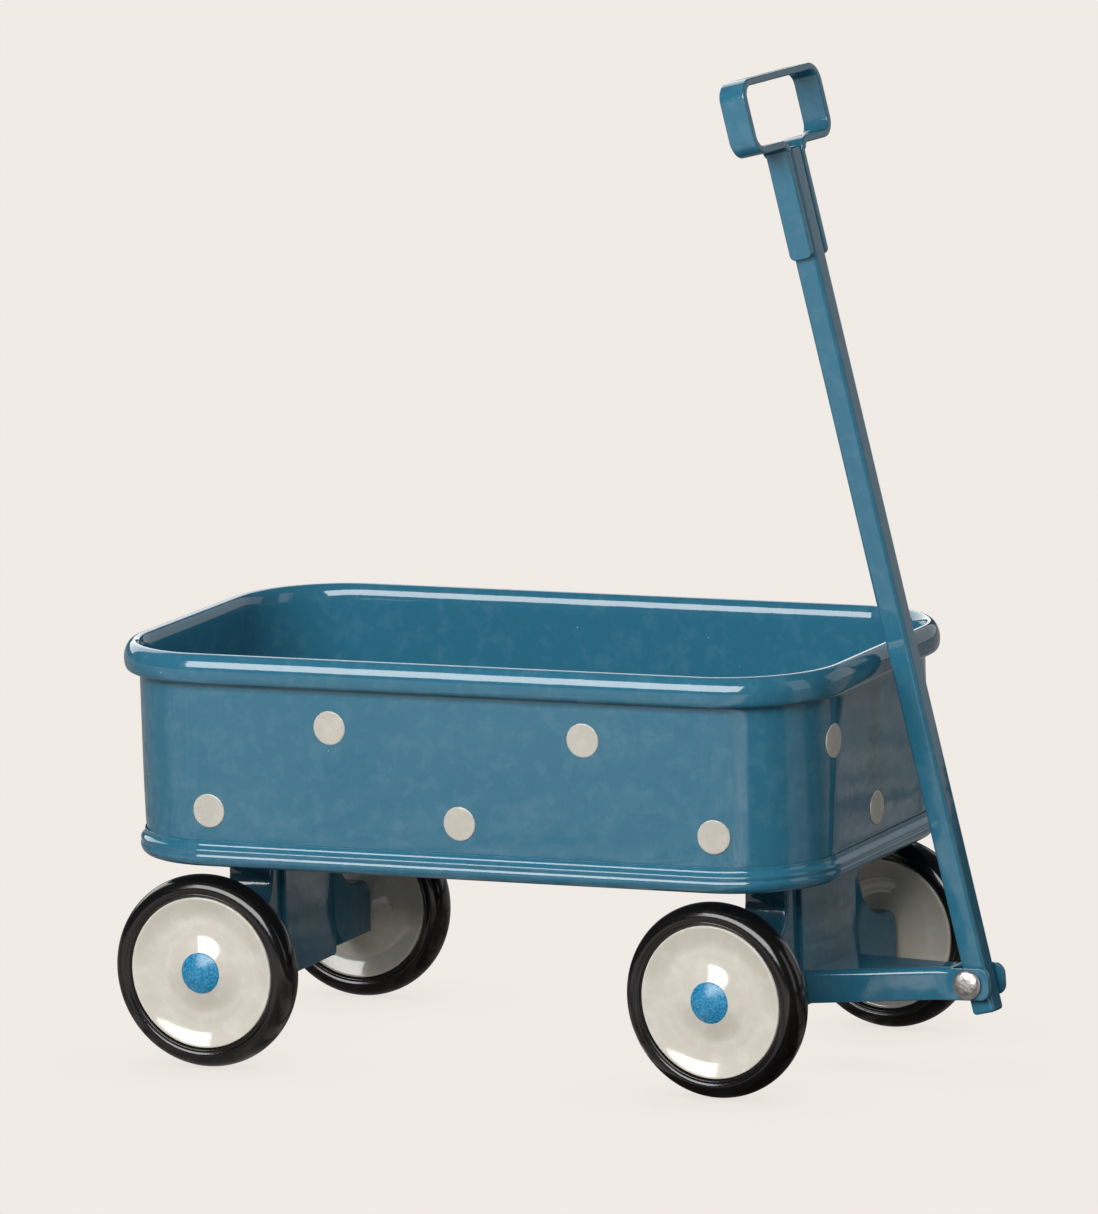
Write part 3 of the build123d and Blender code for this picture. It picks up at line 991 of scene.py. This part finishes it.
# %% Frame pieces that stay
steel_words = ("axle", "washer", "nuts", "kingpin", "rivet")
for name, node in sorted(frame["nodes"].items()):
    if not node.hide_render and any(word in name for word in steel_words):
        for index in range(max(1, len(node.material_slots))):
            if index < len(node.material_slots):
                node.material_slots[index].material = plain_steel
            else:
                node.data.materials.append(plain_steel)
        print("steel", name)

# %% [markdown]
# ## Floor, lights and surroundings
# The toy stands on a plain pale sheet. The sheet glows evenly instead of being lit, so
# that it stays one plain tone, and it darkens softly close under the wheels. The enamel
# mirrors it, and a table in a room is not equally bright on every side, so the mirrored
# sheet has its own brightness for each direction from the toy. It is dimmer close in,
# where the toy stands over it, and it is a little uneven, like a sheet with ripples.

# %% Floor
floor_colour = (0.871, 0.831, 0.784)
floor_half = 6.0
ripple_turn = math.radians(24.4)


def floor_tones():
    """How bright the sheet looks in the enamel, by the direction from the toy in degrees."""
    return [
        (-180, 0.36),
        (-72, 0.30),
        (-60, 0.80),
        (17, 0.90),
        (22, 1.35),
        (31, 1.35),
        (34, 0.10),
        (70, 0.08),
        (75, 0.45),
        (92, 0.40),
        (98, 0.10),
        (112, 0.12),
        (124, 0.40),
        (180, 0.36),
    ]


def maths(material, operation, first, second):
    """One step of arithmetic on two values, each a number or another node's output."""
    node = material.node_tree.nodes.new("ShaderNodeMath")
    node.operation = operation
    for value, socket in zip((first, second), node.inputs):
        if isinstance(value, (int, float)):
            socket.default_value = value
        else:
            link(material, value, socket)
    return node.outputs[0]


def floor_finish():
    material = bpy.data.materials.new("pale_sheet")
    material.use_nodes = True
    nodes = material.node_tree.nodes
    nodes.clear()
    place = nodes.new("ShaderNodeTexCoord").outputs["Object"]

    # The soft shade close under the wheels, for the sheet as it is seen.
    shade = nodes.new("ShaderNodeAmbientOcclusion")
    shade.inputs["Distance"].default_value = 16 * MM
    shade.samples = 6
    seen = spread(material, shade.outputs["AO"], 0, 1, 0.86, 1.0)

    # The mirrored sheet, with painted light and shade: its tone by direction, brighter where the table is lit in
    # front of the toy; dimmer close in, a painted shade where the toy stands over it; and uneven by ripples.
    split = nodes.new("ShaderNodeSeparateXYZ")
    link(material, place, split.inputs["Vector"])
    near_side = maths(material, "MULTIPLY", split.outputs["Y"], -1)
    round_toy = maths(material, "ARCTAN2", split.outputs["X"], near_side)
    patches = nodes.new("ShaderNodeValToRGB")
    ramp = patches.color_ramp
    tones = floor_tones()
    while len(ramp.elements) < len(tones):
        ramp.elements.new(1.0)
    for element, (degrees, tone) in zip(ramp.elements, tones):
        element.position = (degrees + 180) / 360
        element.color = (tone / 2, tone / 2, tone / 2, 1)
    link(material, spread(material, round_toy, -HALF_TURN, HALF_TURN), patches.inputs["Fac"])
    reach = nodes.new("ShaderNodeVectorMath")
    reach.operation = "LENGTH"
    link(material, place, reach.inputs[0])
    distance = spread(material, reach.outputs["Value"], 0.055, 0.12, 0.9, 2.0)
    distance.node.interpolation_type = "SMOOTHSTEP"
    lie = nodes.new("ShaderNodeMapping")
    lie.inputs["Rotation"].default_value = (0, 0, ripple_turn)
    lie.inputs["Scale"].default_value = (1, 0.22, 1)
    link(material, place, lie.inputs["Vector"])
    ripples = noise_at(material, lie.outputs["Vector"], 6.0, detail=5)
    ripples.node.inputs["Distortion"].default_value = 0.6
    rippled = spread(material, ripples, 0.40, 0.64, 0.55, 1.9)
    uneven = maths(material, "MULTIPLY", patches.outputs["Color"], rippled)
    mirrored = maths(material, "MULTIPLY", uneven, distance)

    # Which brightness counts: seen straight on, mirrored, or as light thrown on to the toy.
    rays = nodes.new("ShaderNodeLightPath")
    thrown_or_mirrored = nodes.new("ShaderNodeMix")
    thrown_or_mirrored.inputs["A"].default_value = 0.26
    link(material, rays.outputs["Is Glossy Ray"], thrown_or_mirrored.inputs["Factor"])
    link(material, mirrored, thrown_or_mirrored.inputs["B"])
    strength = nodes.new("ShaderNodeMix")
    link(material, rays.outputs["Is Camera Ray"], strength.inputs["Factor"])
    link(material, thrown_or_mirrored.outputs["Result"], strength.inputs["A"])
    link(material, seen, strength.inputs["B"])
    glow = nodes.new("ShaderNodeEmission")
    glow.inputs["Color"].default_value = (*floor_colour, 1)
    link(material, strength.outputs["Result"], glow.inputs["Strength"])
    output = nodes.new("ShaderNodeOutputMaterial")
    link(material, glow.outputs["Emission"], output.inputs["Surface"])
    return material


sheet = bmesh.new()
bmesh.ops.create_grid(sheet, x_segments=1, y_segments=1, size=floor_half)
floor_mesh = bpy.data.meshes.new("floor")
sheet.to_mesh(floor_mesh)
sheet.free()
floor_object = bpy.data.objects.new("floor", floor_mesh)
floor_mesh.materials.append(floor_finish())
bpy.context.scene.collection.objects.link(floor_object)
floor_object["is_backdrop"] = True
print("floor", round(2 * floor_half, 1), "m square")

# %% [markdown]
# ### Lights
# A wide soft light stands in front of the near long side, low enough to run a bright line
# along the rim and to show in the wheel covers. Three weaker ones fill the shade: a tall
# one beyond the front end, a wide one beyond the far side, and one behind the rear corner
# that only matters when the toy is seen from behind.

# %% Lights
def softbox(name, azimuth, elevation, distance, width, height, radiance):
    """Soft light aimed at the tub; its power follows from how bright its face should look."""
    data = bpy.data.lights.new(name, "AREA")
    data.shape = "RECTANGLE"
    data.size = width
    data.size_y = height
    data.energy = radiance * math.pi * width * height
    lamp = bpy.data.objects.new(name, data)
    towards = direction(math.radians(azimuth), math.radians(elevation))
    aim = Vector((0, 0, 45 * MM))
    facing = towards.to_track_quat("Z", "Y").to_matrix().to_4x4()
    lamp.matrix_world = Matrix.Translation(aim + towards * distance) @ facing
    lamp.visible_camera = False
    bpy.context.scene.collection.objects.link(lamp)
    print("light", name, round(data.energy, 2), "W")
    return lamp


softbox("front_light", -5, 28, 0.62, 0.66, 0.29, 9.3)
softbox("corner_light", 84, 20, 0.60, 0.20, 0.40, 1.0)
softbox("back_light", 152, 16, 0.80, 0.90, 0.40, 0.70)
softbox("rear_fill", 222, 30, 0.80, 0.90, 0.60, 2.4)

world = bpy.data.worlds.new("surroundings")
bpy.context.scene.world = world
world.use_nodes = True
tree = world.node_tree
tree.nodes.clear()
world_output = tree.nodes.new("ShaderNodeOutputWorld")
surround = tree.nodes.new("ShaderNodeBackground")
colours = tree.nodes.new("ShaderNodeMix")
colours.data_type = "RGBA"
world_rays = tree.nodes.new("ShaderNodeLightPath")
tree.links.new(world_rays.outputs["Is Camera Ray"], colours.inputs["Factor"])
colours.inputs[6].default_value = (0.07, 0.072, 0.076, 1)
colours.inputs[7].default_value = (*floor_colour, 1)
tree.links.new(colours.outputs[2], surround.inputs["Color"])
tree.links.new(surround.outputs["Background"], world_output.inputs["Surface"])
bpy.context.scene.view_settings.view_transform = "Standard"
bpy.context.scene.view_settings.look = "None"

# %% [markdown]
# The frame's own box and the box of what shows now are printed side by side, so that any
# piece that sticks out is found at once.

# %% Sizes and finish
visual_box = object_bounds()
sizes = {
    "cad_box": [list(corner) for corner in cad_box],
    "visual_box": [list(corner) for corner in visual_box],
}
for name, corners in sizes.items():
    print(name, [[round(value / MM, 2) for value in corner] for corner in corners])
